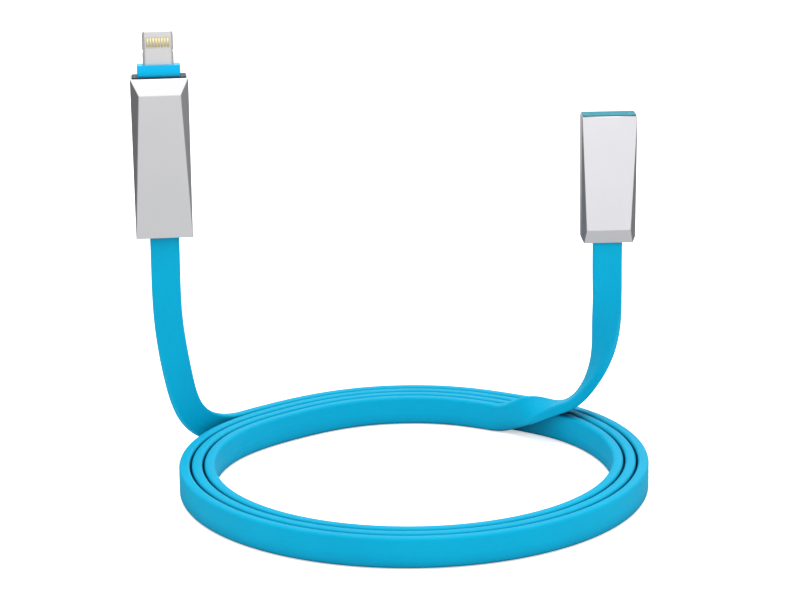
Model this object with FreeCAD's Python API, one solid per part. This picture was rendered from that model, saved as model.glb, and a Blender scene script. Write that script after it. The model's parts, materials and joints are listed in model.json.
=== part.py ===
import FreeCAD, Part
import math
import os

# A flat charging cable, coiled on edge on a table, with both ends standing up.
# Millimetres and degrees. The origin is on the table at the middle of the coil,
# +Z is up, and the faces of both connectors look roughly towards -Y.
#
# One ribbon runs from the left connector down to the outermost turn, clockwise
# round the coil to the innermost turn, over the other turns and up to the right
# connector. It holds four insulated wires side by side. The ribbon and its wires
# are cut where they flex, so each stretch is its own set of solids.

V = FreeCAD.Vector
UP = V(0, 0, 1)
BACK = V(0, 1, 0)

# --- ribbon and wires ---
RIBBON_WIDTH = 6.4
RIBBON_THICK = 2.33
RIBBON_ROUND = 0.6
TUNNEL_WIDTH = 5.3
TUNNEL_THICK = 1.26
TUNNEL_ROUND = 0.5
WIRE_PITCH = 1.28
WIRE_PLACES = (-1.5, -0.5, 0.5, 1.5)
INSULATION_RADIUS = 0.56
INSULATION_BORE = 0.34
CORE_RADIUS = 0.3
FLEX_GAP = 1.6

# --- coil ---
COIL_START = 131.0
COIL_TURNED = 3 * 360 + 69.0
COIL_OUTER = 51.27
COIL_PITCH = 2.725
# Where the turns are pressed a little flat: direction, spread and depth.
COIL_FLATS = ((130.0, 22.0, 1.7), (60.0, 16.0, 1.3))
FIRST_PEEL = 88.0
SECOND_PEEL = 178.0
COIL_STEP = 12.0
# The turns are drawn in finer steps where they run out into a riser.
COIL_RUN_OUT = 36.0
RUN_OUT_STEP = 3.0

# --- left riser: straight off the coil, a bend on edge, then up ---
LEFT_STRAIGHT = 9.5
LEFT_BEND = 15.5
LEFT_WAIST = V(-53.3, 19.8, 33.0)
LEFT_EXIT = V(-53.25, 17.7, 52.05)
LEFT_YAW = 6.0
LEFT_TWIST_FROM = 6.0
LEFT_TWIST_TO = 36.0
LEFT_HINGE = 36.0
LEFT_TWIST = 48.0

# --- right riser: over the outer turns, then up ---
RIGHT_WAY = (V(27.7, 30.3, 6.7), V(36.0, 28.0, 8.7), V(41.3, 26.8, 15.4), V(43.8, 22.7, 27.5))
RIGHT_EXIT = V(43.5, 16.3, 49.85)
RIGHT_YAW = 2.5
RIGHT_ROLL = 102.0
ROLL_PEAK = 19.0
ROLL_RISE = 14.5
ROLL_FALL = 38.5
RIGHT_HINGE = 28.0
RIGHT_TWIST = 43.0
RISER_STEP = 2.5

# --- both connectors, heights above the cable exit ---
NECK = 4.0
SLOT_CLEAR = 0.2
TAIL_CLEAR = 0.06
BOARD_THICK = 0.8
BOARD_WIDTH = 9.0
BOARD_FACE = CORE_RADIUS + 0.02
LEAD_THICK = 0.12
CRIMP_WALL = 0.3
CRIMP_LENGTH = 1.2
GROMMET_WIDTH = 8.8
GROMMET_DEPTH = 3.5
GROMMET_LENGTH = 2.2
CRIMP_GAP = 0.3
TAIL_BARE = 1.6
TAIL_REACH = 2.6
SOLDER_WIDTH = 0.9
SOLDER_LENGTH = 1.0
LEAD_WIDTH = 0.3
LEAD_REACH = 1.6
BOARD_GAP = 0.4

# --- left connector: an eight-way reversible blade ---
LEFT_HEIGHT = 35.0
LEFT_WIDTH = 12.3
LEFT_DEPTH = 6.8
LEFT_RIM_WIDTH = 12.5
LEFT_RIM_DEPTH = 5.2
LEFT_SHOULDER_WIDTH = 9.0
LEFT_SHOULDER_DROP = 3.5
LEFT_FLOOR = 1.2
LEFT_CAVITY_WIDTH = 10.9
LEFT_CAVITY_DEPTH = 4.2
FIT_GAP = 0.06
SEAT_GAP = 0.02
COLLAR_WIDTH = 9.32
COLLAR_DEPTH = 2.9
COLLAR_STANDS = 2.75
COLLAR_SUNK = 4.5
COLLAR_ROUND = 0.5
CAP_SUNK = 10.0
LID_WIDTH = 11.7
LID_DEPTH = 4.6
LID_HEIGHT = 0.3
LID_ROUND = 0.6
SLEEVE_WALL = 0.45
BLADE_WIDTH = 6.7
BLADE_THICK = 1.5
BLADE_STANDS = 7.1
BLADE_SUNK = 14.0
BLADE_TIP_ROUND = 0.6
WINDOW_WIDTH = 5.4
WINDOW_HEIGHT = 2.5
WINDOW_DROP = 1.05
CONTACTS = 8
CONTACT_PITCH = 0.62
CONTACT_WIDTH = 0.42
CONTACT_HEIGHT = 1.9
CONTACT_THICK = 0.3
DETENT_RADIUS = 0.36
DETENT_DEPTH = 0.2
DETENT_DROP = 4.2
LEFT_BOARD_HEIGHT = 13.5
CHIP_SIZE = V(3.0, 0.7, 3.0)
CAPACITOR_SIZE = V(1.0, 0.5, 0.5)

# --- right connector: a socket in a flush end moulding, closed by a plug ---
RIGHT_HEIGHT = 28.1
RIGHT_WIDTH = 11.9
RIGHT_DEPTH = 4.8
RIGHT_FOOT_WIDTH = 9.6
RIGHT_FOOT_RISE = 2.9
RIGHT_SIDE_DEPTH = 2.6
RIGHT_SIDE_RISE = 1.3
RIGHT_BASE_WIDTH = 10.7
RIGHT_BASE_DEPTH = 3.9
RIGHT_FLOOR = 1.9
RIGHT_CAVITY_WIDTH = 11.1
RIGHT_CAVITY_DEPTH = 4.0
RIGHT_NARROW_WIDTH = 9.6
RIGHT_NARROW_DEPTH = 3.6
RIGHT_NARROW_HEIGHT = 18.8
END_SUNK = 9.0
END_LID_WIDTH = 11.5
END_LID_DEPTH = 4.5
END_LID_HEIGHT = 0.25
END_LID_ROUND = 0.4
END_LIP = 0.3
SOCKET_WIDTH = 8.34
SOCKET_DEPTH = 2.56
SOCKET_WALL = 0.3
SOCKET_HEIGHT = 7.6
TONGUE_WIDTH = 6.69
TONGUE_THICK = 0.7
TONGUE_HEIGHT = 4.9
TONGUE_BASE = 1.2
SOCKET_CONTACTS = 12
SOCKET_PITCH = 0.5
SOCKET_CONTACT_WIDTH = 0.26
SOCKET_CONTACT_THICK = 0.06
SOCKET_CONTACT_HEIGHT = 3.4
DUST_CLEAR = 0.07
DUST_HEIGHT = 6.0
DUST_HEAD = 1.35
DUST_POCKET_WIDTH = 6.95
DUST_POCKET_DEPTH = 0.98
RIGHT_BOARD_HEIGHT = 9.5
RESISTOR_SIZE = V(1.6, 0.5, 0.8)


# ---------------------------------------------------------------- small helpers
def smooth(share):
    share = min(1.0, max(0.0, share))
    return share * share * (3 - 2 * share)


def square_to(vector, axis):
    """The part of vector at right angles to axis, as a unit vector."""
    return (vector - axis * vector.dot(axis)).normalize()


def facing(yaw):
    """The way a face looks that is turned by yaw from -Y towards +X."""
    turn = math.radians(yaw)
    return V(math.sin(turn), -math.cos(turn), 0)


def clamped_curve(points, first, last):
    """A smooth curve through points, with its two end directions given."""
    marks = [0.0]
    for near, far in zip(points, points[1:]):
        marks.append(marks[-1] + near.distanceToPoint(far))
    curve = Part.BSplineCurve()
    ends = {"InitialTangent": first, "FinalTangent": last, "Scale": False}
    curve.interpolate(Points=points, Parameters=marks, **ends)
    return curve, marks[-1]


# ------------------------------------------------------------------ ribbon path
# A frame is (point, across, face): the middle of the ribbon, the direction of its
# width, and the direction its front face looks.
def coil_radius(turned):
    radius = COIL_OUTER - COIL_PITCH * turned / 360
    for direction, spread, depth in COIL_FLATS:
        away = (COIL_START - turned - direction + 180) % 360 - 180
        radius -= depth * math.exp(-((away / spread) ** 2))
    return radius


def coil_point(turned):
    angle = math.radians(COIL_START - turned)
    radius = coil_radius(turned)
    return V(radius * math.cos(angle), radius * math.sin(angle), RIBBON_WIDTH / 2)


def coil_heading(turned):
    step = 0.05
    return (coil_point(turned + step) - coil_point(turned - step)).normalize()


def coil_frame(turned):
    return coil_point(turned), UP, coil_heading(turned).cross(UP)


def left_curve():
    start = coil_point(0)
    outward = coil_heading(0) * -1
    level = start + outward * (LEFT_STRAIGHT / 2)
    foot = start + outward * LEFT_STRAIGHT
    lean = math.sin(math.radians(45))
    knee = foot + outward * (LEFT_BEND * lean) + UP * (LEFT_BEND * (1 - lean))
    top = foot + outward * LEFT_BEND + UP * LEFT_BEND
    neck = LEFT_EXIT - UP * NECK
    return clamped_curve([start, level, foot, knee, top, LEFT_WAIST, neck], outward, UP)


def right_curve():
    points = [coil_point(COIL_TURNED), *RIGHT_WAY, RIGHT_EXIT - UP * NECK]
    return clamped_curve(points, coil_heading(COIL_TURNED), UP)


LEFT_CURVE, LEFT_LENGTH = left_curve()
RIGHT_CURVE, RIGHT_LENGTH = right_curve()


def left_frame(rise):
    """rise runs from 0 on the coil to LEFT_LENGTH at the connector's neck."""
    point = LEFT_CURVE.value(rise)
    upward = V(*LEFT_CURVE.tangent(rise)[0])
    base = coil_heading(0)
    base_yaw = math.degrees(math.atan2(base.y, base.x))
    share = smooth((point.z - LEFT_TWIST_FROM) / (LEFT_TWIST_TO - LEFT_TWIST_FROM))
    face = square_to(facing(base_yaw + (LEFT_YAW - base_yaw) * share), upward)
    return point, upward.cross(face), face


def right_frame(rise):
    """rise runs from 0 on the coil to RIGHT_LENGTH at the connector's neck."""
    point = RIGHT_CURVE.value(rise)
    upward = V(*RIGHT_CURVE.tangent(rise)[0])
    if rise < ROLL_PEAK:
        share = smooth((rise - ROLL_PEAK + ROLL_RISE) / ROLL_RISE)
    else:
        share = smooth((ROLL_PEAK + ROLL_FALL - rise) / ROLL_FALL)
    roll = 90 - RIGHT_ROLL * share + RIGHT_YAW * smooth(rise / RIGHT_LENGTH)
    level = square_to(BACK, upward)
    steep = upward.cross(level)
    across = level * math.cos(math.radians(roll)) + steep * math.sin(math.radians(roll))
    return point, across, upward.cross(across)


def frames(place, first, last, step):
    count = max(2, round(abs(last - first) / step))
    return [place(first + (last - first) * i / count) for i in range(count + 1)]


# ------------------------------------------------------- solids along the ribbon
def outline(width, thick, rounding, facets):
    """(across, face) offsets round a rectangle with rounded corners, as a closed polygon."""
    offsets = []
    for quarter, (side, front) in enumerate(((1, 1), (-1, 1), (-1, -1), (1, -1))):
        for i in range(facets + 1):
            turn = math.radians(90 * (quarter + i / facets))
            x = side * (width / 2 - rounding) + rounding * math.cos(turn)
            y = front * (thick / 2 - rounding) + rounding * math.sin(turn)
            offsets.append((x, y))
    return offsets


def strands(stations, offsets):
    """One smooth edge along the ribbon for each corner of the outline."""
    marks = [0.0]
    for near, far in zip(stations, stations[1:]):
        marks.append(marks[-1] + near[0].distanceToPoint(far[0]))
    edges = []
    for x, y in offsets:
        curve = Part.BSplineCurve()
        points = [point + across * x + face * y for point, across, face in stations]
        curve.interpolate(Points=points, Parameters=marks)
        edges.append(curve.toShape())
    return edges


def around(edges):
    """The walls between neighbouring strands, and the closed wires at both ends."""
    following = edges[1:] + edges[:1]
    walls = [Part.makeRuledSurface(edge, other) for edge, other in zip(edges, following)]
    wires = []
    for end in (0, -1):
        corners = [edge.Vertexes[end].Point for edge in edges]
        wires.append(Part.makePolygon(corners + corners[:1]))
    return walls, wires


def jacket(stations):
    outside, outer_wires = around(strands(stations, JACKET_OUTLINE))
    inside, inner_wires = around(strands(stations, TUNNEL_OUTLINE))
    ends = [Part.Face([outer, inner]) for outer, inner in zip(outer_wires, inner_wires)]
    return Part.Solid(Part.Shell(outside + inside + ends))


def wires(stations):
    """Four wires with their insulation, each drawn as one solid rod."""
    shapes = []
    for place in WIRE_PLACES:
        offsets = [(place * WIRE_PITCH + x, y) for x, y in WIRE_OUTLINE]
        walls, ends = around(strands(stations, offsets))
        shapes.append(Part.Solid(Part.Shell(walls + [Part.Face(end) for end in ends])))
    return Part.makeCompound(shapes)


JACKET_OUTLINE = outline(RIBBON_WIDTH, RIBBON_THICK, RIBBON_ROUND, 3)
TUNNEL_OUTLINE = outline(TUNNEL_WIDTH, TUNNEL_THICK, TUNNEL_ROUND, 1)
WIRE_OUTLINE = [
    (INSULATION_RADIUS * math.cos(math.radians(turn)), INSULATION_RADIUS * math.sin(math.radians(turn)))
    for turn in range(0, 360, 30)
]


# ---------------------------------------------------- solids inside a connector
# Connector parts are drawn standing at the origin: x across, y front to back and
# z up from the cable exit. placed() then puts them on their riser.
def block(width, depth, low, high, y_middle=0.0, x_middle=0.0):
    corner = V(x_middle - width / 2, y_middle - depth / 2, low)
    return Part.makeBox(width, depth, high - low, corner)


def rounded_block(width, depth, low, high, rounding):
    form = block(width, depth, low, high)
    upright = [edge for edge in form.Edges if edge.BoundBox.ZLength > (high - low) / 2]
    return form.makeFillet(rounding, upright)


def resting(size, x_middle, z_middle):
    """A component soldered to the front of the board."""
    y_middle = BOARD_FACE - size.y / 2
    return block(size.x, size.y, z_middle - size.z / 2, z_middle + size.z / 2, y_middle, x_middle)


def solid_from(polygons):
    faces = []
    for corners in polygons:
        faces.append(Part.Face(Part.makePolygon(list(corners) + [corners[0]])))
    return Part.Solid(Part.Shell(faces))


def ring(width, depth, height):
    """Four corners of a level rectangle, front left first, clockwise from above."""
    x = width / 2
    y = depth / 2
    return [V(-x, -y, height), V(-x, y, height), V(x, y, height), V(x, -y, height)]


def left_shell_form():
    rim = ring(LEFT_RIM_WIDTH, LEFT_RIM_DEPTH, LEFT_HEIGHT)
    shoulder = ring(LEFT_SHOULDER_WIDTH, LEFT_DEPTH, LEFT_HEIGHT - LEFT_SHOULDER_DROP)
    foot = ring(LEFT_WIDTH, LEFT_DEPTH, 0)
    polygons = [rim, foot]
    for near, far in ((0, 3), (2, 1)):
        polygons.append([rim[near], rim[far], shoulder[far], shoulder[near]])
        polygons.append([shoulder[near], shoulder[far], foot[far], foot[near]])
    for near, far in ((0, 1), (2, 3)):
        polygons.append([rim[near], rim[far], foot[far], foot[near]])
    for corner in range(4):
        polygons.append([rim[corner], shoulder[corner], foot[corner]])
    return solid_from(polygons)


def right_shell_form():
    rim = ring(RIGHT_WIDTH, RIGHT_DEPTH, RIGHT_HEIGHT)
    foot = ring(RIGHT_FOOT_WIDTH, RIGHT_DEPTH, RIGHT_FOOT_RISE)
    side = ring(RIGHT_WIDTH, RIGHT_SIDE_DEPTH, RIGHT_SIDE_RISE)
    base = ring(RIGHT_BASE_WIDTH, RIGHT_BASE_DEPTH, 0)
    polygons = [rim, base]
    for near, far in ((0, 3), (2, 1)):
        polygons.append([rim[near], rim[far], foot[far], foot[near]])
        polygons.append([foot[near], foot[far], base[far], base[near]])
    for near, far in ((0, 1), (2, 3)):
        polygons.append([rim[near], rim[far], side[far], side[near]])
        polygons.append([side[near], side[far], base[far], base[near]])
    for corner in range(4):
        polygons.append([rim[corner], foot[corner], side[corner]])
        polygons.append([foot[corner], side[corner], base[corner]])
    return solid_from(polygons)


def cable_slot(low, high, clearance):
    width = RIBBON_WIDTH + 2 * clearance
    depth = RIBBON_THICK + 2 * clearance
    return rounded_block(width, depth, low, high, RIBBON_ROUND)


def upright_rods(radius, low, high):
    feet = [V(place * WIRE_PITCH, 0, low) for place in WIRE_PLACES]
    return Part.makeCompound([Part.makeCylinder(radius, high - low, foot) for foot in feet])


def cable_end(floor):
    """The grommet, crimp, jacket end and wire tails just above a shell's floor."""
    grommet_top = floor + GROMMET_LENGTH
    crimp_low = grommet_top + CRIMP_GAP
    crimp_top = crimp_low + CRIMP_LENGTH
    wires_top = crimp_top + TAIL_REACH
    lowest = FLEX_GAP / 2 - NECK
    grommet = block(GROMMET_WIDTH, GROMMET_DEPTH, floor, grommet_top)
    crimp = rounded_block(
        RIBBON_WIDTH + 2 * TAIL_CLEAR + 2 * CRIMP_WALL,
        RIBBON_THICK + 2 * TAIL_CLEAR + 2 * CRIMP_WALL,
        crimp_low,
        crimp_top,
        RIBBON_ROUND + CRIMP_WALL,
    )
    bores = upright_rods(INSULATION_BORE, lowest, wires_top)
    jacket_levels = (lowest, crimp_top + CRIMP_GAP)
    return {
        "grommet": grommet.cut(cable_slot(floor - 1, grommet_top + 1, TAIL_CLEAR)),
        "crimp": crimp.cut(cable_slot(crimp_low - 1, crimp_top + 1, TAIL_CLEAR)),
        "jacket_end": jacket([(V(0, 0, z), V(1, 0, 0), V(0, -1, 0)) for z in jacket_levels]),
        "tail_insulation": upright_rods(INSULATION_RADIUS, lowest, wires_top).cut(bores),
        "tail_cores": upright_rods(CORE_RADIUS, lowest, wires_top + TAIL_BARE),
        "wires_top": wires_top,
    }


def board_and_solder(low, high, wires):
    board = block(BOARD_WIDTH, BOARD_THICK, low, high, BOARD_FACE + BOARD_THICK / 2)
    joints = []
    for place in WIRE_PLACES:
        depth = BOARD_FACE + CORE_RADIUS / 2
        top = low + 0.1 + SOLDER_LENGTH
        drop = block(SOLDER_WIDTH, depth, low + 0.1, top, BOARD_FACE - depth / 2, place * WIRE_PITCH)
        joints.append(drop.cut(wires))
    return board, Part.makeCompound(joints)


def row(count, pitch):
    return [(i - (count - 1) / 2) * pitch for i in range(count)]


def left_connector():
    end = cable_end(LEFT_FLOOR)
    slot = cable_slot(-1, LEFT_FLOOR + 1, SLOT_CLEAR)
    cavity = block(LEFT_CAVITY_WIDTH, LEFT_CAVITY_DEPTH, LEFT_FLOOR, LEFT_HEIGHT + 1)
    shell = left_shell_form().cut(cavity).cut(slot)

    collar_top = LEFT_HEIGHT + COLLAR_STANDS
    collar_low = LEFT_HEIGHT - COLLAR_SUNK
    blade_top = collar_top + BLADE_STANDS
    blade_low = collar_top - BLADE_SUNK
    blade_side = BLADE_THICK / 2 - 0.01
    blade_hole = rounded_block(
        BLADE_WIDTH + 2 * FIT_GAP,
        BLADE_THICK + 2 * FIT_GAP,
        blade_low - 9,
        blade_top,
        blade_side + FIT_GAP,
    )
    collar_form = rounded_block(COLLAR_WIDTH, COLLAR_DEPTH, collar_low, collar_top, COLLAR_ROUND)
    collar = collar_form.cut(blade_hole)
    # The cap fills the top of the shell, and its thin lid covers the rim.
    lid_low = LEFT_HEIGHT + SEAT_GAP
    lid_top = lid_low + LID_HEIGHT
    cap_low = lid_top - CAP_SUNK
    inside_width = LEFT_CAVITY_WIDTH - 2 * FIT_GAP
    inside_depth = LEFT_CAVITY_DEPTH - 2 * FIT_GAP
    collar_hole = block(COLLAR_WIDTH + 2 * FIT_GAP, COLLAR_DEPTH + 2 * FIT_GAP, collar_low, lid_top + 1)
    cap = block(inside_width, inside_depth, cap_low, lid_top)
    cap = cap.fuse(rounded_block(LID_WIDTH, LID_DEPTH, lid_low, lid_top, LID_ROUND))
    cap = cap.cut(collar_hole).cut(blade_hole)

    # The blade: a steel frame with round sides, cut by a window for the contacts.
    blade = rounded_block(BLADE_WIDTH, BLADE_THICK, blade_low, blade_top, blade_side)
    tip = block(BLADE_WIDTH, BLADE_THICK, blade_low, blade_top)
    corners = []
    for edge in tip.Edges:
        if edge.BoundBox.ZMin > blade_top - 0.01 and edge.BoundBox.XLength < 0.01:
            corners.append(edge)
    blade = blade.common(tip.makeFillet(BLADE_TIP_ROUND, corners))
    window_high = blade_top - WINDOW_DROP
    window_low = window_high - WINDOW_HEIGHT
    window = block(WINDOW_WIDTH, BLADE_THICK + 1, window_low, window_high)
    blade = blade.cut(window)
    for side in (-1, 1):
        out = side * (BLADE_WIDTH / 2 + DETENT_RADIUS - DETENT_DEPTH)
        at = V(out, -BLADE_THICK, blade_top - DETENT_DROP)
        blade = blade.cut(Part.makeCylinder(DETENT_RADIUS, 2 * BLADE_THICK, at, BACK))

    window_middle = (window_low + window_high) / 2
    insulator = block(WINDOW_WIDTH - 0.02, BLADE_THICK - 0.06, window_low + 0.01, window_high - 0.01)
    contacts = []
    for x in row(CONTACTS, CONTACT_PITCH):
        for side in (-1, 1):
            y = side * (BLADE_THICK / 2 - 0.03 - CONTACT_THICK / 2)
            low = window_middle - CONTACT_HEIGHT / 2
            pad = block(CONTACT_WIDTH, CONTACT_THICK, low, low + CONTACT_HEIGHT, y, x)
            contacts.append(pad)
            insulator = insulator.cut(pad)

    board_low = end["wires_top"] + BOARD_GAP
    board_high = board_low + LEFT_BOARD_HEIGHT
    board, solder = board_and_solder(board_low, board_high, end["tail_cores"])
    leads = []
    for x in row(CONTACTS, CONTACT_PITCH):
        y = BOARD_FACE - LEAD_THICK / 2
        leads.append(block(LEAD_WIDTH, LEAD_THICK, board_high - LEAD_REACH, blade_low - SEAT_GAP, y, x))
    capacitors = []
    for x in (-3.2, 3.2):
        for z in (board_low + 3.5, board_low + 5.5):
            capacitors.append(resting(CAPACITOR_SIZE, x, z))
    sleeve_low = board_low - 0.3
    sleeve_high = min(cap_low, blade_low) - 0.2
    sleeve = block(inside_width, inside_depth, sleeve_low, sleeve_high)
    sleeve_bore = block(inside_width - 2 * SLEEVE_WALL, inside_depth - 2 * SLEEVE_WALL, 0, LEFT_HEIGHT)
    return {
        "left_shell": shell,
        "left_collar": collar,
        "left_cap": cap,
        "left_board_sleeve": sleeve.cut(sleeve_bore),
        "blade_frame": blade,
        "blade_insulator": insulator,
        "blade_contacts": Part.makeCompound(contacts),
        "blade_leads": Part.makeCompound(leads),
        "left_board": board,
        "left_chip": resting(CHIP_SIZE, 0, board_low + 6.0),
        "left_capacitors": Part.makeCompound(capacitors),
        "left_solder": solder,
        "left_grommet": end["grommet"],
        "left_crimp": end["crimp"],
        "left_jacket_end": end["jacket_end"],
        "left_tail_insulation": end["tail_insulation"],
        "left_tail_cores": end["tail_cores"],
    }


def stadium(width, depth, low, high):
    return rounded_block(width, depth, low, high, depth / 2 - 0.01)


def right_connector():
    end = cable_end(RIGHT_FLOOR)
    slot = cable_slot(-1, RIGHT_FLOOR + 1, SLOT_CLEAR)
    narrow = block(RIGHT_NARROW_WIDTH, RIGHT_NARROW_DEPTH, RIGHT_FLOOR, RIGHT_HEIGHT)
    cavity = block(RIGHT_CAVITY_WIDTH, RIGHT_CAVITY_DEPTH, RIGHT_NARROW_HEIGHT, RIGHT_HEIGHT + 1)
    shell = right_shell_form().cut(narrow).cut(cavity).cut(slot)

    # The moulding fills the top of the shell, and its thin lid covers the rim.
    lid_low = RIGHT_HEIGHT + SEAT_GAP
    end_top = lid_low + END_LID_HEIGHT
    end_low = end_top - END_SUNK
    socket_low = end_top - SOCKET_HEIGHT
    outside_width = SOCKET_WIDTH + 2 * SOCKET_WALL
    outside_depth = SOCKET_DEPTH + 2 * SOCKET_WALL
    bore = stadium(SOCKET_WIDTH, SOCKET_DEPTH, socket_low - 1, end_top + 1)
    # A lip of the moulding, with the same opening as the tube, covers the tube's front edge.
    socket_high = end_top - END_LIP
    socket = stadium(outside_width, outside_depth, socket_low, socket_high).cut(bore)
    moulding = block(
        RIGHT_CAVITY_WIDTH - 2 * FIT_GAP, RIGHT_CAVITY_DEPTH - 2 * FIT_GAP, end_low, end_top
    )
    lid = rounded_block(END_LID_WIDTH, END_LID_DEPTH, lid_low, end_top, END_LID_ROUND)
    moulding = moulding.fuse(lid)
    socket_hole = stadium(
        outside_width + 2 * SEAT_GAP, outside_depth + 2 * SEAT_GAP, end_low - 1, socket_high + SEAT_GAP
    )
    moulding = moulding.cut(socket_hole).cut(bore)

    tongue_low = socket_low + TONGUE_BASE
    tongue = stadium(SOCKET_WIDTH - 2 * SEAT_GAP, SOCKET_DEPTH - 2 * SEAT_GAP, socket_low, tongue_low)
    tongue = tongue.fuse(block(TONGUE_WIDTH, TONGUE_THICK, tongue_low - 0.1, tongue_low + TONGUE_HEIGHT))
    contacts = []
    for x in row(SOCKET_CONTACTS, SOCKET_PITCH):
        for side in (-1, 1):
            y = side * (TONGUE_THICK / 2 + SOCKET_CONTACT_THICK / 2)
            low = tongue_low + 0.8
            high = low + SOCKET_CONTACT_HEIGHT
            contacts.append(block(SOCKET_CONTACT_WIDTH, SOCKET_CONTACT_THICK, low, high, y, x))

    # The flush plug that closes the socket, with a pocket for the tongue.
    dust_low = end_top - DUST_HEIGHT
    dust = stadium(SOCKET_WIDTH - 2 * DUST_CLEAR, SOCKET_DEPTH - 2 * DUST_CLEAR, dust_low, end_top)
    dust = dust.cut(block(DUST_POCKET_WIDTH, DUST_POCKET_DEPTH, dust_low - 1, end_top - DUST_HEAD))

    board_low = end["wires_top"] + BOARD_GAP
    board_high = board_low + RIGHT_BOARD_HEIGHT
    board, solder = board_and_solder(board_low, board_high, end["tail_cores"])
    leads = []
    for x in row(SOCKET_CONTACTS, SOCKET_PITCH):
        y = BOARD_FACE - LEAD_THICK / 2
        low = board_high - LEAD_REACH
        leads.append(block(SOCKET_CONTACT_WIDTH, LEAD_THICK, low, socket_low - SEAT_GAP, y, x))
    return {
        "right_shell": shell,
        "end_moulding": moulding,
        "socket_shell": socket,
        "socket_tongue": tongue,
        "socket_contacts": Part.makeCompound(contacts),
        "socket_leads": Part.makeCompound(leads),
        "dust_plug": dust,
        "right_board": board,
        "right_resistor": resting(RESISTOR_SIZE, 0, board_low + 4.5),
        "right_solder": solder,
        "right_grommet": end["grommet"],
        "right_crimp": end["crimp"],
        "right_jacket_end": end["jacket_end"],
        "right_tail_insulation": end["tail_insulation"],
        "right_tail_cores": end["tail_cores"],
    }


def placed(shape, exit_point, yaw):
    shape = shape.copy()
    shape.rotate(V(0, 0, 0), UP, yaw)
    shape.translate(exit_point)
    return shape


# ------------------------------------------------------------------ whole cable
def cable_sections():
    half = FLEX_GAP / 2
    half_turn = math.degrees(half / COIL_OUTER)
    left_foot = frames(left_frame, LEFT_HINGE - half, 0, RISER_STEP)
    left_run_out = frames(coil_frame, 0, COIL_RUN_OUT, RUN_OUT_STEP)
    outer_back = frames(coil_frame, COIL_RUN_OUT, FIRST_PEEL - half_turn, COIL_STEP)
    coil = frames(coil_frame, SECOND_PEEL + half_turn, COIL_TURNED - COIL_RUN_OUT, COIL_STEP)
    right_run_out = frames(coil_frame, COIL_TURNED - COIL_RUN_OUT, COIL_TURNED, RUN_OUT_STEP)
    right_foot = frames(right_frame, 0, RIGHT_HINGE - half, RISER_STEP)
    return {
        "left_upper": frames(left_frame, LEFT_LENGTH - half, LEFT_TWIST + half, RISER_STEP),
        "left_lower": frames(left_frame, LEFT_TWIST - half, LEFT_HINGE + half, RISER_STEP),
        "outer_back": left_foot + left_run_out[1:] + outer_back[1:],
        "outer_right": frames(coil_frame, FIRST_PEEL + half_turn, SECOND_PEEL - half_turn, COIL_STEP),
        "coil": coil + right_run_out[1:] + right_foot[1:],
        "right_lower": frames(right_frame, RIGHT_HINGE + half, RIGHT_TWIST - half, RISER_STEP),
        "right_upper": frames(right_frame, RIGHT_TWIST + half, RIGHT_LENGTH - half, RISER_STEP),
    }


def build():
    nodes = {}
    for name, stations in cable_sections().items():
        nodes["jacket_" + name] = jacket(stations)
        nodes["wires_" + name] = wires(stations)
    for name, shape in left_connector().items():
        nodes[name] = placed(shape, LEFT_EXIT, LEFT_YAW)
    for name, shape in right_connector().items():
        nodes[name] = placed(shape, RIGHT_EXIT, RIGHT_YAW)
    return nodes


os.makedirs("parts", exist_ok=True)
for node_name, node_shape in build().items():
    node_shape.exportStep(os.path.join("parts", node_name + ".step"))
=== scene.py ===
import json
import math

import bmesh
import bpy
import numpy as np
from mathutils import Matrix, Vector


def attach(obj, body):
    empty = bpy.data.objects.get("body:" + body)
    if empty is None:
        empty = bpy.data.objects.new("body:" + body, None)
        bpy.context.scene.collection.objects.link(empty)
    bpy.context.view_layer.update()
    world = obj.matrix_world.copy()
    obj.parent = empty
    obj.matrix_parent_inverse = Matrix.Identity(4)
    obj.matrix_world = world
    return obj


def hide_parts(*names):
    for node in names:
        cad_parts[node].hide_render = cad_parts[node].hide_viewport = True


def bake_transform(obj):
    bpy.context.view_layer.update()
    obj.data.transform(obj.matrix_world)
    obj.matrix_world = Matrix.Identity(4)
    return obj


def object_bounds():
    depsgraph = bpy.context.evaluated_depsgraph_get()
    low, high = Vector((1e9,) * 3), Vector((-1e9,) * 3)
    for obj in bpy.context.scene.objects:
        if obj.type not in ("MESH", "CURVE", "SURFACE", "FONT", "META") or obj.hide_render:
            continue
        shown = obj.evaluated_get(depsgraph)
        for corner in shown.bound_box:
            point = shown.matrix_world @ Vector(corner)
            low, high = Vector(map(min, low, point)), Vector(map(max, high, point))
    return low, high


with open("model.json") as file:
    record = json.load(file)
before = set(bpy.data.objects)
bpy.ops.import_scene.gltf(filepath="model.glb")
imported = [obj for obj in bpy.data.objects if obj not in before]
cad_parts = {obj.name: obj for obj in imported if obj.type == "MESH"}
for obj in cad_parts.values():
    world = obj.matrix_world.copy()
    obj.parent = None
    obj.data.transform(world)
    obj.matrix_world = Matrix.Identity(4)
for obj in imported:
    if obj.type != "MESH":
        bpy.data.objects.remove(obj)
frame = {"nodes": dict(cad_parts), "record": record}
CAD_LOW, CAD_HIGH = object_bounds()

# The visual model of a flat charging cable, coiled on edge with both ends standing up.
# Path sizes are in millimetres and match the CAD frame; meshes are written in metres.
MM = 0.001
UP = np.array((0.0, 0.0, 1.0))
BACK = np.array((0.0, 1.0, 0.0))

# --- ribbon ---
RIBBON_WIDTH = 6.4
RIBBON_THICK = 2.33
RIBBON_ROUND = 0.62
WIRE_PITCH = 1.28
WIRE_RIDGE = 0.03
CORNER_STEPS = 6
FACE_STEPS = 16

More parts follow.
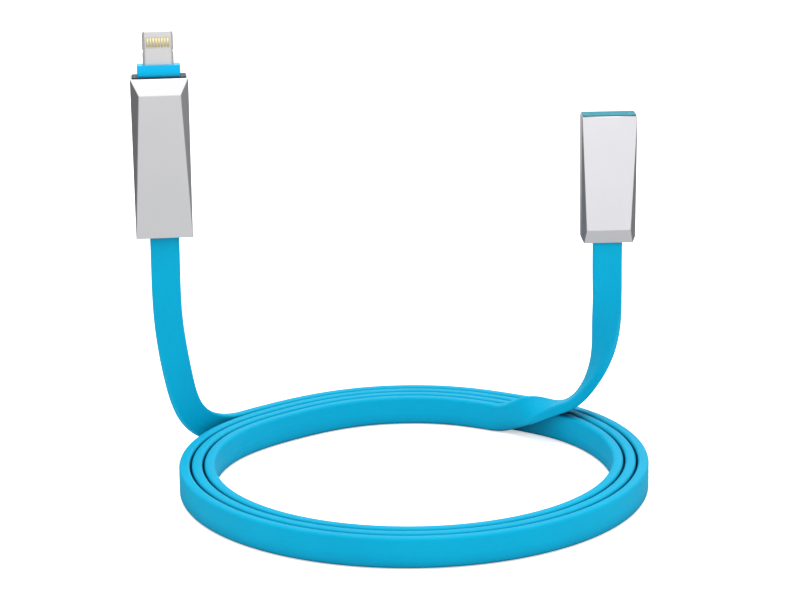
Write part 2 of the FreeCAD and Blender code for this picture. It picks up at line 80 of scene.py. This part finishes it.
# --- coil ---
COIL_START = 131.0
COIL_TURNED = 3 * 360 + 69.0
COIL_OUTER = 51.27
COIL_PITCH = 2.725
COIL_FLATS = ((130.0, 22.0, 1.7), (60.0, 16.0, 1.3))
FIRST_PEEL = 88.0
SECOND_PEEL = 178.0
PEEL_REACH = 14.0

# --- risers ---
LEFT_STRAIGHT = 9.5
LEFT_BEND = 15.5
LEFT_WAIST = (-53.3, 19.8, 33.0)
LEFT_EXIT = (-53.25, 17.7, 52.05)
LEFT_YAW = 6.0
LEFT_TWIST_FROM = 6.0
LEFT_TWIST_TO = 36.0
LEFT_HINGE = 36.0
LEFT_TWIST = 48.0
RIGHT_WAY = ((27.7, 30.3, 6.7), (36.0, 28.0, 8.7), (41.3, 26.8, 15.4), (43.8, 22.7, 27.5))
RIGHT_EXIT = (43.5, 16.3, 49.85)
RIGHT_YAW = 2.5
RIGHT_ROLL = 102.0
ROLL_PEAK = 19.0
ROLL_RISE = 14.5
ROLL_FALL = 38.5
RIGHT_HINGE = 28.0
RIGHT_TWIST = 43.0
NECK = 4.0
INTO_SHELL = 1.6

# --- stretches of the visual ribbon, and reaches to either side of each bend ---
LEFT_FOOT_REACH = 24.0
RIGHT_FOOT_REACH = 18.0
RISER_STEP = 0.9
COIL_STEP = 1.2
NECK_SPREAD = (3.3, 3.3)
BEND_SPREAD = (5.5, 5.5)
TWIST_SPREAD = (4.0, 4.0)
# The reach is longer on the peeled side than on the side that stays.
PEEL_SPREAD = (7.5, 2.5)

# --- ribbon colours ---
RIBBON_DARK = (0.0, 0.34, 0.555)
RIBBON_LIGHT = (0.0, 0.372, 0.595)
# Painted shade colour for the gaps between turns and for the ribbon just under the shells.
RIBBON_PAINTED_SHADE = (0.0, 0.06, 0.12)
RIBBON_STREAK = (0.93, 0.97, 0.98)
SHADE_REACH = 0.005


# ------------------------------------------------------------------- ribbon path
def smooth(share):
    share = min(1.0, max(0.0, share))
    return share * share * (3 - 2 * share)


def unit(vector):
    return vector / np.linalg.norm(vector)


def square_to(vector, axis):
    """The part of vector at right angles to axis, as a unit vector."""
    return unit(vector - axis * np.dot(vector, axis))


def facing(yaw):
    """The way a face looks that is turned by yaw from -Y towards +X."""
    turn = math.radians(yaw)
    return np.array((math.sin(turn), -math.cos(turn), 0.0))


class ClampedCurve:
    """A smooth curve through points with both end directions given, straight beyond its end."""

    def __init__(self, points, first, last):
        self.points = np.array(points, float)
        gaps = np.linalg.norm(np.diff(self.points, axis=0), axis=1)
        self.marks = np.concatenate(([0.0], np.cumsum(gaps)))
        self.length = self.marks[-1]
        count = len(self.points)
        system = np.eye(count)
        aims = np.zeros((count, 3))
        aims[0] = first
        aims[-1] = last
        for i in range(1, count - 1):
            before, after = gaps[i - 1], gaps[i]
            system[i, i - 1 : i + 2] = (1 / before, 2 / before + 2 / after, 1 / after)
            rise_before = (self.points[i] - self.points[i - 1]) / before**2
            rise_after = (self.points[i + 1] - self.points[i]) / after**2
            aims[i] = 3 * (rise_before + rise_after)
        self.slopes = np.linalg.solve(system, aims)

    def at(self, mark):
        """The point and the unit direction at a distance along the curve."""
        if mark >= self.length:
            return self.points[-1] + self.slopes[-1] * (mark - self.length), unit(self.slopes[-1])
        i = min(int(np.searchsorted(self.marks, mark, "right")) - 1, len(self.points) - 2)
        gap = self.marks[i + 1] - self.marks[i]
        t = (mark - self.marks[i]) / gap
        near, far = self.points[i], self.points[i + 1]
        leave, arrive = self.slopes[i] * gap, self.slopes[i + 1] * gap
        bend = 2 * near - 2 * far + leave + arrive
        swing = 3 * far - 3 * near - 2 * leave - arrive
        point = ((bend * t + swing) * t + leave) * t + near
        direction = (3 * bend * t + 2 * swing) * t + leave
        return point, unit(direction)


def coil_radius(turned):
    radius = COIL_OUTER - COIL_PITCH * turned / 360
    for direction, spread, depth in COIL_FLATS:
        away = (COIL_START - turned - direction + 180) % 360 - 180
        radius -= depth * math.exp(-((away / spread) ** 2))
    return radius


def coil_point(turned):
    angle = math.radians(COIL_START - turned)
    radius = coil_radius(turned)
    return np.array((radius * math.cos(angle), radius * math.sin(angle), RIBBON_WIDTH / 2))


def coil_heading(turned):
    """The way the ribbon runs along the coil, from two points a small turn apart."""
    step = 0.05
    return unit(coil_point(turned + step) - coil_point(turned - step))


def coil_frame(turned):
    return coil_point(turned), UP, np.cross(coil_heading(turned), UP)


def left_curve():
    start = coil_point(0)
    outward = -coil_heading(0)
    lean = math.sin(math.radians(45))
    level = start + outward * (LEFT_STRAIGHT / 2)
    foot = start + outward * LEFT_STRAIGHT
    knee = foot + outward * (LEFT_BEND * lean) + UP * (LEFT_BEND * (1 - lean))
    top = foot + outward * LEFT_BEND + UP * LEFT_BEND
    neck = np.array(LEFT_EXIT) - UP * NECK
    return ClampedCurve([start, level, foot, knee, top, LEFT_WAIST, neck], outward, UP)


def right_curve():
    points = [coil_point(COIL_TURNED), *RIGHT_WAY, np.array(RIGHT_EXIT) - UP * NECK]
    return ClampedCurve(points, coil_heading(COIL_TURNED), UP)


LEFT_CURVE = left_curve()
RIGHT_CURVE = right_curve()


def left_frame(rise):
    point, upward = LEFT_CURVE.at(rise)
    base = coil_heading(0)
    base_yaw = math.degrees(math.atan2(base[1], base[0]))
    share = smooth((point[2] - LEFT_TWIST_FROM) / (LEFT_TWIST_TO - LEFT_TWIST_FROM))
    face = square_to(facing(base_yaw + (LEFT_YAW - base_yaw) * share), upward)
    return point, np.cross(upward, face), face


def right_frame(rise):
    point, upward = RIGHT_CURVE.at(rise)
    if rise < ROLL_PEAK:
        share = smooth((rise - ROLL_PEAK + ROLL_RISE) / ROLL_RISE)
    else:
        share = smooth((ROLL_PEAK + ROLL_FALL - rise) / ROLL_FALL)
    roll = math.radians(90 - RIGHT_ROLL * share + RIGHT_YAW * smooth(rise / RIGHT_CURVE.length))
    level = square_to(BACK, upward)
    steep = np.cross(upward, level)
    across = level * math.cos(roll) + steep * math.sin(roll)
    return point, across, np.cross(upward, across)


def frames(place, first, last, step):
    count = max(2, round(abs(last - first) / step))
    return [place(first + (last - first) * i / count) for i in range(count + 1)]


# ----------------------------------------------------------------- ribbon pieces
def ribbon_outline():
    """(across, face) points round the ribbon, with soft corners and faint ridges over the wires."""
    half_width = RIBBON_WIDTH / 2
    half_thick = RIBBON_THICK / 2
    flat = half_width - RIBBON_ROUND
    points = []
    for front in (1, -1):
        for i in range(CORNER_STEPS):
            turn = math.radians(90 * i / CORNER_STEPS)
            x = flat + RIBBON_ROUND * math.cos(turn)
            y = half_thick - RIBBON_ROUND + RIBBON_ROUND * math.sin(turn)
            points.append((front * x, front * y))
        for i in range(FACE_STEPS + 1):
            x = flat - 2 * flat * i / FACE_STEPS
            fade = 1 - (x / flat) ** 6
            ridge = WIRE_RIDGE * fade * (1 + math.cos(2 * math.pi * x / WIRE_PITCH)) / 2
            points.append((front * x, front * (half_thick - ridge)))
        for i in range(CORNER_STEPS):
            turn = math.radians(90 + 90 * (i + 1) / CORNER_STEPS)
            x = -flat + RIBBON_ROUND * math.cos(turn)
            y = half_thick - RIBBON_ROUND + RIBBON_ROUND * math.sin(turn)
            points.append((front * x, front * y))
    return points


def finish_mesh(name, mesh, material, sharp_degrees=35):
    mesh.materials.clear()
    mesh.materials.append(material)
    mesh.shade_smooth()
    mesh.set_sharp_from_angle(angle=math.radians(sharp_degrees))
    piece = bpy.data.objects.new(name, mesh)
    bpy.context.scene.collection.objects.link(piece)
    return piece


def ribbon_piece(name, stations, start_length, material):
    """A closed stretch of ribbon; its UV runs in metres along and round the ribbon."""
    outline = ribbon_outline()
    count = len(outline)
    verts = []
    for point, across, face in stations:
        verts.extend((point + across * x + face * y) * MM for x, y in outline)
    faces = []
    for ring in range(len(stations) - 1):
        for i in range(count):
            j = (i + 1) % count
            low, high = ring * count, (ring + 1) * count
            faces.append((low + i, low + j, high + j, high + i))
    last = (len(stations) - 1) * count
    faces.append(tuple(reversed(range(count))))
    faces.append(tuple(range(last, last + count)))
    mesh = bpy.data.meshes.new(name)
    mesh.from_pydata([tuple(v) for v in verts], [], faces)
    lengths = [start_length]
    for near, far in zip(stations, stations[1:]):
        lengths.append(lengths[-1] + float(np.linalg.norm(far[0] - near[0])))
    around = [0.0]
    for near, far in zip(outline, outline[1:] + outline[:1]):
        around.append(around[-1] + math.dist(near, far))
    layer = mesh.uv_layers.new(name="along")
    spots = np.zeros((len(mesh.loops), 2))
    for polygon in mesh.polygons:
        if polygon.loop_total != 4:
            continue
        ring, i = divmod(polygon.index, count)
        corners = ((ring, i), (ring, i + 1), (ring + 1, i + 1), (ring + 1, i))
        for loop, (row, column) in zip(polygon.loop_indices, corners):
            spots[loop] = (lengths[row] * MM, around[column] * MM)
    layer.data.foreach_set("uv", spots.ravel())
    bm = bmesh.new()
    bm.from_mesh(mesh)
    bmesh.ops.recalc_face_normals(bm, faces=bm.faces)
    bm.to_mesh(mesh)
    bm.free()
    return finish_mesh(name, mesh, material), lengths[-1]


# --------------------------------------------------------------------- materials
def shader(name):
    material = bpy.data.materials.new(name)
    material.use_nodes = True
    tree = material.node_tree
    return material, tree, tree.nodes["Principled BSDF"]


def add(tree, kind, settings=None, **inputs):
    """A node with its settings, and its inputs given as values or as other nodes' outputs."""
    node = tree.nodes.new(kind)
    for key, value in (settings or {}).items():
        setattr(node, key, value)
    for key, value in inputs.items():
        # A key such as i7 means the input at index 7; any other key is the input's name.
        by_index = key[0] == "i" and key[1:].isdigit()
        socket = node.inputs[int(key[1:]) if by_index else key]
        if isinstance(value, bpy.types.NodeSocket):
            tree.links.new(value, socket)
        else:
            socket.default_value = value
    return node


def rgba(colour):
    return (*colour, 1.0)


def shade_between(tree, share, dark, light):
    """A colour between dark and light."""
    mix = add(tree, "ShaderNodeMix", {"data_type": "RGBA"}, i6=rgba(dark), i7=rgba(light))
    tree.links.new(share, mix.inputs[0])
    return mix.outputs[2]


def spread(tree, value, low, high, start=0.3, end=0.7):
    """A value stretched from start..end to low..high."""
    settings = {"clamp": True}
    node = add(tree, "ShaderNodeMapRange", settings, i1=start, i2=end, i3=low, i4=high)
    tree.links.new(value, node.inputs[0])
    return node.outputs[0]


def noise(tree, vector, scale, detail=3.0, stretch=(1, 1, 1)):
    mapped = add(tree, "ShaderNodeMapping", i3=stretch)
    tree.links.new(vector, mapped.inputs[0])
    node = add(tree, "ShaderNodeTexNoise", Scale=scale, Detail=detail)
    tree.links.new(mapped.outputs[0], node.inputs["Vector"])
    return node.outputs["Fac"]


def edge_share(tree, radius):
    """1 on outer edges narrower than radius and 0 on flats."""
    bevel = add(tree, "ShaderNodeBevel", {"samples": 4}, Radius=radius)
    flat = add(tree, "ShaderNodeNewGeometry")
    dot = add(tree, "ShaderNodeVectorMath", {"operation": "DOT_PRODUCT"})
    tree.links.new(bevel.outputs[0], dot.inputs[0])
    tree.links.new(flat.outputs["Normal"], dot.inputs[1])
    return spread(tree, dot.outputs["Value"], 1.0, 0.0, 0.9, 0.99)


def surface(name, base, roughness, metallic=0.0, specular=0.5, grain=600.0, grain_depth=0.03,
            variation=0.08, roughness_spread=0.08, stretch=(1, 1, 1), wear=0.0, wear_radius=0.0003,
            coat=0.0):
    """A moulded or metal surface: colour drift, roughness drift, fine grain and worn edges."""
    material, tree, principled = shader(name)
    place = add(tree, "ShaderNodeTexCoord").outputs["Object"]
    drift = noise(tree, place, 90.0, 4.0)
    fine = noise(tree, place, grain, 4.0, stretch)
    dark = tuple(c * (1 - variation) for c in base)
    light = tuple(min(1.0, c * (1 + variation)) for c in base)
    colour = shade_between(tree, spread(tree, drift, 0.0, 1.0), dark, light)
    if wear:
        worn = tuple(min(1.0, c + wear) for c in base)
        mix = add(tree, "ShaderNodeMix", {"data_type": "RGBA"}, i7=rgba(worn))
        tree.links.new(colour, mix.inputs[6])
        tree.links.new(edge_share(tree, wear_radius), mix.inputs[0])
        colour = mix.outputs[2]
    tree.links.new(colour, principled.inputs["Base Color"])
    rough = spread(tree, fine, roughness - roughness_spread, roughness + roughness_spread)
    tree.links.new(rough, principled.inputs["Roughness"])
    bump = add(tree, "ShaderNodeBump", Strength=grain_depth, Distance=0.0004)
    tree.links.new(fine, bump.inputs["Height"])
    tree.links.new(bump.outputs[0], principled.inputs["Normal"])
    principled.inputs["Metallic"].default_value = metallic
    principled.inputs["Specular IOR Level"].default_value = specular
    principled.inputs["Coat Weight"].default_value = coat
    principled.inputs["Coat Roughness"].default_value = 0.08
    return material


def ribbon_material():
    """Satin elastomer: faint lengthwise lines, a fine matt grain and painted shade in the gaps and
    under the shells.
    """
    material, tree, principled = shader("ribbon_rubber")
    place = add(tree, "ShaderNodeTexCoord")
    along = place.outputs["UV"]
    lines = noise(tree, along, 1.0, 3.0, (14.0, 5200.0, 1.0))
    drift = noise(tree, place.outputs["Object"], 45.0, 3.0)
    grain = noise(tree, place.outputs["Object"], 4200.0, 2.0)
    share = spread(tree, drift, 0.0, 1.0)
    base = shade_between(tree, share, RIBBON_DARK, RIBBON_LIGHT)
    multiply = {"data_type": "RGBA", "blend_type": "MULTIPLY"}
    streak = add(tree, "ShaderNodeMix", multiply, i7=rgba(RIBBON_STREAK))
    tree.links.new(base, streak.inputs[6])
    tree.links.new(spread(tree, lines, 0.0, 0.6), streak.inputs[0])
    # Painted shade: ambient occlusion darkens the colour to a deep blue in the gaps between turns
    # and where the ribbon leaves the shells.
    near = add(tree, "ShaderNodeAmbientOcclusion", {"samples": 8}, Distance=SHADE_REACH)
    shade = spread(tree, near.outputs["AO"], 0.25, 1.0, 0.2, 0.8)
    painted_shade_mix = add(tree, "ShaderNodeMix", {"data_type": "RGBA"}, i6=rgba(RIBBON_PAINTED_SHADE))
    tree.links.new(shade, painted_shade_mix.inputs[0])
    tree.links.new(streak.outputs[2], painted_shade_mix.inputs[7])
    tree.links.new(painted_shade_mix.outputs[2], principled.inputs["Base Color"])
    tree.links.new(spread(tree, grain, 0.46, 0.6), principled.inputs["Roughness"])
    fine = add(tree, "ShaderNodeBump", Strength=0.05, Distance=0.0002)
    tree.links.new(grain, fine.inputs["Height"])
    long = add(tree, "ShaderNodeBump", Strength=0.1, Distance=0.0002)
    tree.links.new(lines, long.inputs["Height"])
    tree.links.new(fine.outputs[0], long.inputs["Normal"])
    tree.links.new(long.outputs[0], principled.inputs["Normal"])
    principled.inputs["Specular IOR Level"].default_value = 0.07
    return material


RIBBON = ribbon_material()
MATERIALS = {
    "wire_insulation": surface("wire_insulation", (0.55, 0.05, 0.04), 0.4),
    "copper": surface("copper_strands", (0.75, 0.33, 0.2), 0.3, 1.0, grain=2500.0,
                      stretch=(1, 1, 0.1)),
    # Both shells are the same zinc alloy; the right shell's lighter base colour is painted light
    # that makes it brighter than the left.
    "left_shell_metal": surface(
        "left_shell_metal", (0.66, 0.66, 0.675), 0.3, 0.92, grain=9000.0, grain_depth=0.001,
        variation=0.015, roughness_spread=0.02, wear=0.2, wear_radius=0.0002),
    "right_shell_metal": surface(
        "right_shell_metal", (0.86, 0.85, 0.88), 0.3, 0.9, grain=9000.0, grain_depth=0.001,
        variation=0.015, roughness_spread=0.02, wear=0.1, wear_radius=0.0002),
    "collar": surface("collar_plastic", (0.0, 0.47, 0.83), 0.3, specular=0.1, grain=3000.0,
                      grain_depth=0.004, variation=0.04, wear=0.03, coat=0.03),
    "cap": surface("cap_plastic", (0.018, 0.03, 0.04), 0.4, specular=0.12, grain=2500.0,
                   grain_depth=0.006, variation=0.2, wear=0.03),
    "sleeve": surface("sleeve_plastic", (0.02, 0.02, 0.024), 0.5),
    "blade_metal": surface("blade_steel", (0.72, 0.71, 0.71), 0.42, 0.6, grain=9000.0,
                           grain_depth=0.001, variation=0.02, roughness_spread=0.03),
    "blade_plastic": surface("blade_plastic", (0.56, 0.53, 0.44), 0.45, grain=900.0),
    "contact_gold": surface("contact_gold", (0.93, 0.8, 0.42), 0.2, 1.0, grain=2000.0,
                            grain_depth=0.02, stretch=(1, 1, 0.1), wear=0.05),
    "board": surface("board_laminate", (0.02, 0.14, 0.05), 0.35),
    "component": surface("chip_epoxy", (0.02, 0.02, 0.02), 0.5),
    "capacitor": surface("capacitor_ceramic", (0.35, 0.22, 0.12), 0.45),
    "solder": surface("solder_tin", (0.7, 0.7, 0.72), 0.22, 1.0, grain=900.0, grain_depth=0.1),
    "grommet": surface("grommet_rubber", (0.015, 0.03, 0.04), 0.5),
    "crimp": surface("crimp_steel", (0.5, 0.5, 0.51), 0.3, 1.0, stretch=(0.1, 1, 1)),
    "end_blue": surface("end_plastic", (0.01, 0.215, 0.275), 0.45, specular=0.06, grain=3000.0,
                        grain_depth=0.004, variation=0.05, wear=0.02),
    "socket_metal": surface("socket_steel", (0.55, 0.55, 0.57), 0.25, 1.0),
    "socket_plastic": surface("socket_plastic", (0.03, 0.03, 0.03), 0.45),
    "dust_plug": surface("dust_plug_rubber", (0.01, 0.222, 0.283), 0.5, specular=0.06, grain=3500.0,
                         grain_depth=0.01, variation=0.05, wear=0.02),
    "ribbon": RIBBON,
}


# ------------------------------------------------------- pieces made from CAD nodes
def refined(node, body, edge, sharp_degrees, segments):
    """A copy of a CAD node with its sharp edges rounded by edge millimetres."""
    slots = {row["node"]: row["material_slot"] for row in frame["record"]["subparts"]}
    slot = slots[node]
    mesh = frame["nodes"][node].data.copy()
    bm = bmesh.new()
    bm.from_mesh(mesh)
    bmesh.ops.remove_doubles(bm, verts=bm.verts, dist=0.002 * MM)
    bmesh.ops.dissolve_limit(bm, angle_limit=math.radians(0.6), verts=bm.verts, edges=bm.edges)
    limit = math.radians(sharp_degrees)
    # Edges that meet a very short one are left as they are, or they would hold back all others.
    crowded = {v for e in bm.edges if e.calc_length() < 1.5 * edge * MM for v in e.verts}
    sharp = [
        e for e in bm.edges
        if e.is_manifold and e.calc_face_angle(0.0) > limit and crowded.isdisjoint(e.verts)
    ]
    bmesh.ops.bevel(bm, geom=sharp, offset=edge * MM, offset_type="OFFSET", segments=segments,
                    profile=0.5, affect="EDGES", clamp_overlap=True)
    bmesh.ops.recalc_face_normals(bm, faces=bm.faces)
    bm.to_mesh(mesh)
    bm.free()
    piece = finish_mesh(node + "_finish", mesh, MATERIALS[slot], 60)
    weighted = piece.modifiers.new("even_shading", "WEIGHTED_NORMAL")
    weighted.keep_sharp = True
    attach(piece, body)
    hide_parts(node)


# Body, edge rounding in millimetres, least angle of a rounded edge, and segments, by node.
REFINED = {
    "left_shell": ("left_plug", 0.12, 8.0, 4),
    "left_collar": ("left_plug", 0.22, 30.0, 4),
    "left_cap": ("left_plug", 0.08, 30.0, 3),
    "blade_frame": ("left_plug", 0.1, 30.0, 3),
    "blade_contacts": ("left_plug", 0.05, 30.0, 2),
    "right_shell": ("right_socket", 0.16, 8.0, 4),
    "end_moulding": ("right_socket", 0.08, 30.0, 3),
    "dust_plug": ("dust_plug", 0.12, 30.0, 3),
    "left_grommet": ("left_plug", 0.08, 30.0, 2),
    "right_grommet": ("right_socket", 0.08, 30.0, 2),
    "socket_shell": ("right_socket", 0.05, 30.0, 2),
}


def refine_connectors():
    for node, (body, edge, degrees, segments) in REFINED.items():
        refined(node, body, edge, degrees, segments)


def finish_cad_nodes():
    """Gives every CAD node that still shows its procedural material."""
    for row in frame["record"]["subparts"]:
        node = frame["nodes"][row["node"]]
        if node.hide_render:
            continue
        node.data.materials.clear()
        node.data.materials.append(MATERIALS[row["material_slot"]])


# --------------------------------------------------------------------- the ribbon
def hinge_ends(place, at, reach):
    """Points a reach before and a reach after a bend, along the ribbon."""
    before, _, _ = place(at - reach[0])
    after, _, _ = place(at + reach[1])
    return Vector(before * MM), Vector(after * MM)


def build_ribbon():
    left_top = LEFT_CURVE.length + NECK + INTO_SHELL
    right_top = RIGHT_CURVE.length + NECK + INTO_SHELL
    left_middle = (LEFT_HINGE + LEFT_TWIST) / 2
    left_high = (LEFT_TWIST + LEFT_CURVE.length) / 2
    right_middle = (RIGHT_HINGE + RIGHT_TWIST) / 2
    right_high = (RIGHT_TWIST + RIGHT_CURVE.length) / 2
    first_low, first_high = FIRST_PEEL - PEEL_REACH, FIRST_PEEL + PEEL_REACH
    second_low, second_high = SECOND_PEEL - PEEL_REACH, SECOND_PEEL + PEEL_REACH
    left_foot = frames(left_frame, LEFT_FOOT_REACH, 0, RISER_STEP)
    coil_back = frames(coil_frame, 0, first_low, COIL_STEP)
    coil_rest = frames(coil_frame, second_high, COIL_TURNED, COIL_STEP)
    right_foot = frames(right_frame, 0, RIGHT_FOOT_REACH, RISER_STEP)
    stretches = (
        ("ribbon_left_neck", frames(left_frame, left_top, left_high, RISER_STEP)),
        ("ribbon_left_upper", frames(left_frame, left_high, left_middle, RISER_STEP)),
        ("ribbon_left_lower", frames(left_frame, left_middle, LEFT_FOOT_REACH, RISER_STEP)),
        ("ribbon_outer_back", left_foot + coil_back[1:]),
        ("ribbon_first_peel", frames(coil_frame, first_low, first_high, COIL_STEP)),
        ("ribbon_outer_right", frames(coil_frame, first_high, second_low, COIL_STEP)),
        ("ribbon_second_peel", frames(coil_frame, second_low, second_high, COIL_STEP)),
        ("ribbon_coil", coil_rest + right_foot[1:]),
        ("ribbon_right_lower", frames(right_frame, RIGHT_FOOT_REACH, right_middle, RISER_STEP)),
        ("ribbon_right_upper", frames(right_frame, right_middle, right_high, RISER_STEP)),
        ("ribbon_right_neck", frames(right_frame, right_high, right_top, RISER_STEP)),
    )
    pieces = {}
    length = 0.0
    for name, stations in stretches:
        pieces[name], length = ribbon_piece(name, stations, length, RIBBON)
    return pieces


def hang_ribbon(pieces):
    """Puts the coil stretches on their bodies, bakes each bend piece in place, and hides the CAD
    solids that the ribbon stands for.
    """
    for body in ("outer_back", "outer_right", "coil"):
        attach(pieces["ribbon_" + body], body)
    left_neck, right_neck = LEFT_CURVE.length, RIGHT_CURVE.length
    bends = (
        ("ribbon_left_neck", "left_upper", "left_plug", left_frame, left_neck, NECK_SPREAD),
        ("ribbon_left_upper", "left_lower", "left_upper", left_frame, LEFT_TWIST, TWIST_SPREAD),
        ("ribbon_left_lower", "outer_back", "left_lower", left_frame, LEFT_HINGE, BEND_SPREAD),
        ("ribbon_first_peel", "outer_back", "outer_right", coil_frame, FIRST_PEEL, PEEL_SPREAD),
        ("ribbon_second_peel", "outer_right", "coil", coil_frame, SECOND_PEEL, PEEL_SPREAD),
        ("ribbon_right_lower", "coil", "right_lower", right_frame, RIGHT_HINGE, BEND_SPREAD),
        ("ribbon_right_upper", "right_lower", "right_upper", right_frame, RIGHT_TWIST, TWIST_SPREAD),
        ("ribbon_right_neck", "right_upper", "right_socket", right_frame, right_neck, NECK_SPREAD),
    )
    for name, low_body, high_body, place, at, reach in bends:
        start, end = hinge_ends(place, at, reach)
        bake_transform(pieces[name])
    stands_for = {
        "ribbon_left_neck": ("left_jacket_end", "left_tail_insulation", "left_tail_cores"),
        "ribbon_right_neck": ("right_jacket_end", "right_tail_insulation", "right_tail_cores"),
    }
    stretches = ("left_upper", "left_lower", "outer_back", "outer_right", "coil", "right_lower",
                 "right_upper")
    for part in stretches:
        stands_for["ribbon_" + part] = ("jacket_" + part, "wires_" + part)
    for name, nodes in stands_for.items():
        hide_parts(*nodes)


# ------------------------------------------------------------------------ studio
CAMERA_PLACE = (-1.93, -545.5, 193.4)
CAMERA_DOWN = 15.56
CAMERA_ROLL = -0.67
CAMERA_LENS = 119.47
FLOOR_SIZE = 6.0
FLOOR_DROP = 0.0001
FLOOR_GLOW = 0.5
SKY_STRENGTH = 0.95
STUDIO_STRENGTH = 2.0
# What polished metal mirrors: brightness from left to right, and from below to above.
STUDIO_ACROSS = (
    (0.0, 0.05), (0.25, 0.06), (0.42, 0.55), (0.56, 1.0), (0.68, 0.7), (0.8, 0.3), (1.0, 0.06),
)
STUDIO_UPWARD = ((0.0, 0.12), (0.12, 0.2), (0.33, 0.38), (0.4, 0.56), (0.56, 1.0), (1.0, 0.9))
# Name, place in metres, width in metres and power in watts of each softbox.
SOFTBOXES = (
    ("key", (0.5, -0.7, 0.9), 0.6, 1.6),
    ("top", (0.0, 0.1, 1.0), 0.8, 6.0),
)


def make_camera():
    data = bpy.data.cameras.new("camera")
    data.lens = CAMERA_LENS
    data.sensor_width = 36.0
    data.clip_start = 0.01
    camera = bpy.data.objects.new("camera", data)
    bpy.context.scene.collection.objects.link(camera)
    tilt = Matrix.Rotation(math.radians(90 - CAMERA_DOWN), 4, "X")
    roll = Matrix.Rotation(math.radians(CAMERA_ROLL), 4, "Z")
    camera.matrix_world = Matrix.Translation(Vector(CAMERA_PLACE) * MM) @ tilt @ roll
    bpy.context.scene.camera = camera


def make_floor():
    bpy.ops.mesh.primitive_plane_add(size=FLOOR_SIZE, location=(0, 0, CAD_LOW.z - FLOOR_DROP))
    floor = bpy.context.object
    floor.name = "floor"
    material, tree, principled = shader("floor_paint")
    place = add(tree, "ShaderNodeTexCoord").outputs["Object"]
    drift = spread(tree, noise(tree, place, 3.0), 0.0, 1.0)
    colour = shade_between(tree, drift, (0.93, 0.93, 0.93), (0.95, 0.95, 0.95))
    tree.links.new(colour, principled.inputs["Base Color"])
    principled.inputs["Roughness"].default_value = 0.9
    principled.inputs["Specular IOR Level"].default_value = 0.1
    floor.data.materials.append(material)
    principled.inputs["Emission Color"].default_value = (1, 1, 1, 1)
    # The floor glows for the camera only, which keeps it pale without lighting the object.
    rays = add(tree, "ShaderNodeLightPath")
    glow = spread(tree, rays.outputs["Is Camera Ray"], 0.0, FLOOR_GLOW, 0.0, 1.0)
    tree.links.new(glow, principled.inputs["Emission Strength"])
    floor.visible_glossy = False


def ramp(tree, value, stops):
    """A grey level that follows stops of (position, level)."""
    node = add(tree, "ShaderNodeValToRGB")
    elements = node.color_ramp.elements
    elements[0].position = stops[0][0]
    elements[1].position = stops[-1][0]
    for position, _ in stops[1:-1]:
        elements.new(position)
    for element, (_, level) in zip(elements, stops):
        element.color = (level, level, level, 1.0)
    tree.links.new(value, node.inputs[0])
    return node.outputs[0]


def make_world():
    """White all round for light and background; polished metal sees a shaded studio instead."""
    world = bpy.data.worlds.new("studio")
    bpy.context.scene.world = world
    world.use_nodes = True
    tree = world.node_tree
    background = tree.nodes["Background"]
    background.inputs["Color"].default_value = (1, 1, 1, 1)
    direction = add(tree, "ShaderNodeTexCoord").outputs["Generated"]
    split = add(tree, "ShaderNodeSeparateXYZ")
    tree.links.new(direction, split.inputs[0])
    side = spread(tree, split.outputs["X"], 0.0, 1.0, -1.0, 1.0)
    height = spread(tree, split.outputs["Z"], 0.0, 1.0, -1.0, 1.0)
    across = ramp(tree, side, STUDIO_ACROSS)
    upward = ramp(tree, height, STUDIO_UPWARD)
    shaded = add(tree, "ShaderNodeMath", {"operation": "MULTIPLY"})
    tree.links.new(across, shaded.inputs[0])
    tree.links.new(upward, shaded.inputs[1])
    lifted = add(tree, "ShaderNodeMath", {"operation": "MULTIPLY"}, i1=STUDIO_STRENGTH)
    tree.links.new(shaded.outputs[0], lifted.inputs[0])
    rays = add(tree, "ShaderNodeLightPath")
    mix = add(tree, "ShaderNodeMix", {"data_type": "FLOAT"}, i2=SKY_STRENGTH)
    tree.links.new(rays.outputs["Is Glossy Ray"], mix.inputs[0])
    tree.links.new(lifted.outputs[0], mix.inputs[3])
    tree.links.new(mix.outputs[0], background.inputs["Strength"])


def soft_light(name, place, size, power):
    """A square softbox that looks at the middle of the object."""
    data = bpy.data.lights.new(name, "AREA")
    data.size = size
    data.energy = power
    light = bpy.data.objects.new(name, data)
    bpy.context.scene.collection.objects.link(light)
    middle = (CAD_LOW + CAD_HIGH) / 2
    aim = (middle - Vector(place)).to_track_quat("-Z", "Y")
    light.matrix_world = Matrix.Translation(Vector(place)) @ aim.to_matrix().to_4x4()
    light.visible_camera = False


def make_lights():
    for name, place, size, power in SOFTBOXES:
        soft_light(name, place, size, power)


bpy.context.scene.view_settings.view_transform = "Standard"
ribbon_pieces = build_ribbon()
hang_ribbon(ribbon_pieces)
refine_connectors()
finish_cad_nodes()
make_camera()
make_floor()
make_world()
make_lights()
